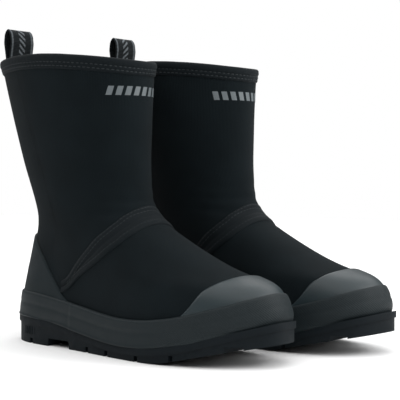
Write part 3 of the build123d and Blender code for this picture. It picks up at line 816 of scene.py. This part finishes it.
def make_loop():
    """Webbing folded to a loop that stands up from the back of the collar, and its sewn end inside."""
    skin = skin_of()
    low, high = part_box("right_pull_loop")
    middle, half = (low + high) / 2, (high.y - low.y) / 2
    tall, wide, thick = high.z - low.z, high.x - low.x, LOOP_THICKNESS
    shares = np.array([-0.04, 0.0, 0.28, 0.62, 0.86, 0.97, 1.0])
    bulges = np.array([0.17, 0.24, 0.5, 0.84, 0.66, 0.3, 0.0]) * half * 1.15
    fine = np.linspace(-0.04, 1.0, 46)
    bulge = np.interp(fine, shares, bulges)
    for _ in range(3):
        bulge[1:-1] = (bulge[:-2] + 2 * bulge[1:-1] + bulge[2:]) / 4
    front = [(middle.y - b, low.z + tall * s) for s, b in zip(fine, bulge)]
    back = [(middle.y + b, low.z + tall * s) for s, b in zip(fine, bulge)][::-1]
    path = np.array(front + back[1:])
    ahead = np.gradient(path, axis=0)
    ahead /= np.linalg.norm(ahead, axis=1, keepdims=True)
    out = np.stack([-ahead[:, 1], ahead[:, 0]], 1)
    section = [(-0.5, 0.25), (-0.47, 0.55), (-0.42, 0.5), (-0.36, 0.42), (0, 0.42), (0.36, 0.42), (0.42, 0.5),
               (0.47, 0.55), (0.5, 0.25), (0.47, -0.5), (0.36, -0.42), (0, -0.42), (-0.36, -0.42),
               (-0.47, -0.5)]
    rings = []
    for (y, z), (ny, nz) in zip(path, out):
        rings.append([(middle.x + a * wide, y + ny * b * thick, z + nz * b * thick) for a, b in section])
    loop = strip("right_webbing_loop", rings, False, ring_closed=True)
    paint_attribute(loop, "line", lambda p: 1.0 if abs(abs(p.x - middle.x) / wide - 0.42) < 0.03 else 0.0)
    fit_pair(coat(loop, webbing), "loop", ["pull_loop"])

    _, rim = edges_of("collar_binding")
    spacing = np.linalg.norm(skin.points[-20, 1] - skin.points[-20, 0])
    reach = wide / 2 / spacing
    bottom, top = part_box("right_loop_anchor")
    down = np.linspace(top.z - bottom.z, LOOP_END_TOP, 14)
    runs = rim[0] - np.concatenate([down, down[::-1]])
    off = np.repeat(LOOP_END_FACES, len(down))
    rings = []
    for column in np.linspace(-reach, reach, 15):
        rings.append(skin.at(column, runs, off)[0])
    anchor = strip("right_loop_end", rings, False, ring_closed=True)
    paint_attribute(anchor, "line", lambda p: 0.0)
    fit_pair(coat(anchor, webbing), "boot", ["loop_anchor"])


def softened(node, name, width):
    """A copy of a CAD node with its sharp edges rounded."""
    points, faces = node_mesh(node)
    piece = new_piece(name, points, faces, smooth=False)
    bpy.context.view_layer.objects.active = piece
    weld = piece.modifiers.new("weld", "WELD")
    weld.merge_threshold = 0.01 * MM
    flatten = piece.modifiers.new("flatten", "DECIMATE")
    flatten.decimate_type = "DISSOLVE"
    flatten.angle_limit = math.radians(0.8)
    bevel = piece.modifiers.new("bevel", "BEVEL")
    bevel.width, bevel.segments, bevel.angle_limit = width, 2, math.radians(32)
    solid = bpy.data.meshes.new_from_object(piece.evaluated_get(bpy.context.evaluated_depsgraph_get()))
    piece.modifiers.clear()
    piece.data = solid
    solid.name = name
    solid.polygons.foreach_set("use_smooth", [True] * len(solid.polygons))
    solid.set_sharp_from_angle(angle=math.radians(38))
    return piece


def make_sole():
    """The lugged outsole, and a row of moulded ribs on the outer side of its heel."""
    sole = softened("right_outsole", "right_outsole_rubber", 0.6 * MM)
    fit_pair(coat(sole, sole_rubber), "boot", ["outsole"])
    skin, ribs = skin_of(), []
    for k in range(HEEL_RIBS):
        rings = []
        for wide in np.linspace(0, 0.8, 5):
            rise = 0.6 * MM * math.sin(math.pi * wide / 0.8) ** 0.5
            column = FAN - 9 + 1.7 * k + wide
            points = []
            for height in np.linspace(8.5 * MM, 15.5 * MM, 8):
                ground = skin.at(column, np.array([0.0]), [3.6 * MM + rise])[0][0]
                points.append((ground[0], ground[1], height))
            rings.append(points)
        ribs.append(strip("rib", rings, False))
    fit_pair(coat(merged(ribs, "right_heel_ribs"), sole_rubber), "boot")


def make_inside():
    for side in SIDES:
        coat(frame["nodes"][side + "_footbed"], eva_foam)
        coat(frame["nodes"][side + "_heel_cushion"], eva_foam)
        coat(frame["nodes"][side + "_insole_board"], fibre_board)
        coat(frame["nodes"][side + "_shank"], spring_steel)


# ------------------------------------------------------------------ stage
def area_light(name, place, aim, size, power):
    lamp = bpy.data.lights.new(name, "AREA")
    lamp.shape, lamp.size, lamp.size_y, lamp.energy = "RECTANGLE", size[0], size[1], power
    piece = bpy.data.objects.new(name, lamp)
    piece.location = place
    piece.rotation_euler = (Vector(aim) - Vector(place)).to_track_quat("-Z", "Y").to_euler()
    bpy.context.scene.collection.objects.link(piece)
    return piece


def make_stage():
    scene, sizes = bpy.context.scene, bpy.context.scene.boots
    corners = [(x * 2.5, y * 2.5, 0) for x, y in ((-1, -1), (1, -1), (1, 1), (-1, 1))]
    floor = new_piece("studio_floor", corners, [[0, 1, 2, 3]])
    coat(floor, pale_floor)
    world = bpy.data.worlds.new("studio")
    world.use_nodes = True
    room = world.node_tree.nodes["Background"]
    room.inputs["Color"].default_value = (1, 1, 1, 1)
    seen = add(world.node_tree, "ShaderNodeLightPath").outputs["Is Camera Ray"]
    world.node_tree.links.new(ranged(world.node_tree, seen, sizes.fill, 1.0), room.inputs["Strength"])
    scene.world = world
    aim = (0, 0, 0.12)
    area_light("ceiling_softbox", (0, 0, 3.0), (0, 0, 0), (10.0, 10.0), 560 * sizes.key)
    area_light("key_softbox", (1.1, -2.1, 1.2), aim, (1.1, 1.5), 42 * sizes.key)
    scene.view_settings.view_transform = "Standard"
    camera = bpy.data.objects.new("camera", bpy.data.cameras.new("camera"))
    scene.collection.objects.link(camera)
    camera.data.lens, camera.data.sensor_width = CAMERA_LENS, CAMERA_SENSOR
    camera.location = CAMERA_PLACE
    look = Vector((*CAMERA_HEADING, -math.tan(CAMERA_TILT)))
    camera.rotation_euler = look.to_track_quat("-Z", "Y").to_euler()
    scene.camera = camera


# ------------------------------------------------------------------ add-on
def length(name, text, default):
    return bpy.props.FloatProperty(name=name, description=text, default=default, min=0.0,
                                   subtype="DISTANCE", unit="LENGTH", precision=5)


def colour(name, text, default):
    return bpy.props.FloatVectorProperty(name=name, description=text, default=linear(default), size=4,
                                         min=0.0, max=1.0, subtype="COLOR")


class BootSizes(bpy.types.PropertyGroup):
    """Sizes and colours of the boots' dressed pieces."""
    cap_rubber: length("Toe cap", "Thickness of the toe cap", 1.9 * MM)
    counter_rubber: length("Counter", "Thickness of the heel counter", 1.9 * MM)
    foxing_rubber: length("Foxing", "How far the foxing stands off the upper", 3.8 * MM)
    foxing_flare: length("Foxing flare", "How far the foxing's foot stands out past its top", 1.5 * MM)
    foxing_crease: length("Foxing crease", "Depth of the crease round the foxing", 0.45 * MM)
    slack: length("Slack", "Swell of the knit shaft", 0.7 * MM)
    fold: length("Fold", "Height of the folds above the instep", 0.45 * MM)
    key: bpy.props.FloatProperty(name="Key", description="Brightness of the softboxes", default=1.0,
                                 min=0.0)
    fill: bpy.props.FloatProperty(name="Fill", description="Brightness of the room", default=0.12, min=0.0)
    knit_colour: colour("Knit", "Lighter shade of the knit-faced neoprene", "#12191c")
    cap_colour: colour("Toe cap colour", "Lighter shade of the toe cap's rubber", "#1d2a2e")
    rubber_colour: colour("Rubber", "Counter and foxing rubber", "#121b1e")
    sole_colour: colour("Sole", "Outsole rubber", "#0b1216")
    tape_colour: colour("Tape", "Binding, seam tape and webbing", "#0d1316")
    weave_colour: colour("Weave", "Pale threads woven into the webbing", "#666c70")
    print_colour: colour("Print", "Film of the bars on the shaft", "#565d60")
    floor_colour: colour("Floor", "Studio paper", "#f2f2f2")


def piece_operator(key, label, text, work):
    """An operator class that runs one piece's maker."""
    def execute(self, context):
        work()
        return {"FINISHED"}

    return type("BOOTS_OT_" + key, (bpy.types.Operator,), {
        "__doc__": text, "bl_idname": "boots." + key, "bl_label": label,
        "bl_options": {"REGISTER", "UNDO"}, "execute": execute,
    })


OPERATORS = [
    piece_operator("neoprene", "Shaft and Vamp", "Make the knit shaft and vamp", make_neoprene),
    piece_operator("lining", "Lining", "Make the lining inside the boots", make_lining),
    piece_operator("toe_cap", "Toe Caps", "Make the rubber toe caps", make_toe_cap),
    piece_operator("counter", "Heel Counters", "Make the rubber heel counters", make_counter),
    piece_operator("foxing", "Foxing", "Make the rubber foxing bands", make_foxing),
    piece_operator("seam_tape", "Seam Tape", "Make the ankle seam tapes and their stitches", make_seam_tape),
    piece_operator("binding", "Collar Binding", "Make the collar tapes and their stitches", make_binding),
    piece_operator("print", "Print", "Make the bars printed on the shafts", make_print),
    piece_operator("loop", "Pull Loops", "Make the webbing pull loops", make_loop),
    piece_operator("sole", "Outsoles", "Make the outsoles with rounded edges", make_sole),
    piece_operator("inside", "Inside Pieces", "Give the inner CAD pieces their materials", make_inside),
    piece_operator("stage", "Studio", "Make the floor, the lights and the camera", make_stage),
]


class BOOTS_PT_panel(bpy.types.Panel):
    """Sizes and makers of the boots."""
    bl_label = "Boots"
    bl_idname = "BOOTS_PT_panel"
    bl_space_type = "VIEW_3D"
    bl_region_type = "UI"
    bl_category = "Boots"

    def draw(self, context):
        for name in BootSizes.__annotations__:
            self.layout.prop(context.scene.boots, name)
        for operator in OPERATORS:
            self.layout.operator(operator.bl_idname)


CLASSES = [BootSizes, *OPERATORS, BOOTS_PT_panel]


def register():
    for each in CLASSES:
        bpy.utils.register_class(each)
    bpy.types.Scene.boots = bpy.props.PointerProperty(type=BootSizes)


def unregister():
    del bpy.types.Scene.boots
    for each in reversed(CLASSES):
        bpy.utils.unregister_class(each)


def main():
    register()
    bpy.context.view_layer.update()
    for operator in OPERATORS:
        getattr(bpy.ops.boots, operator.bl_idname.split(".")[1])()
    bpy.context.view_layer.update()


if __name__ == "__main__":
    main()
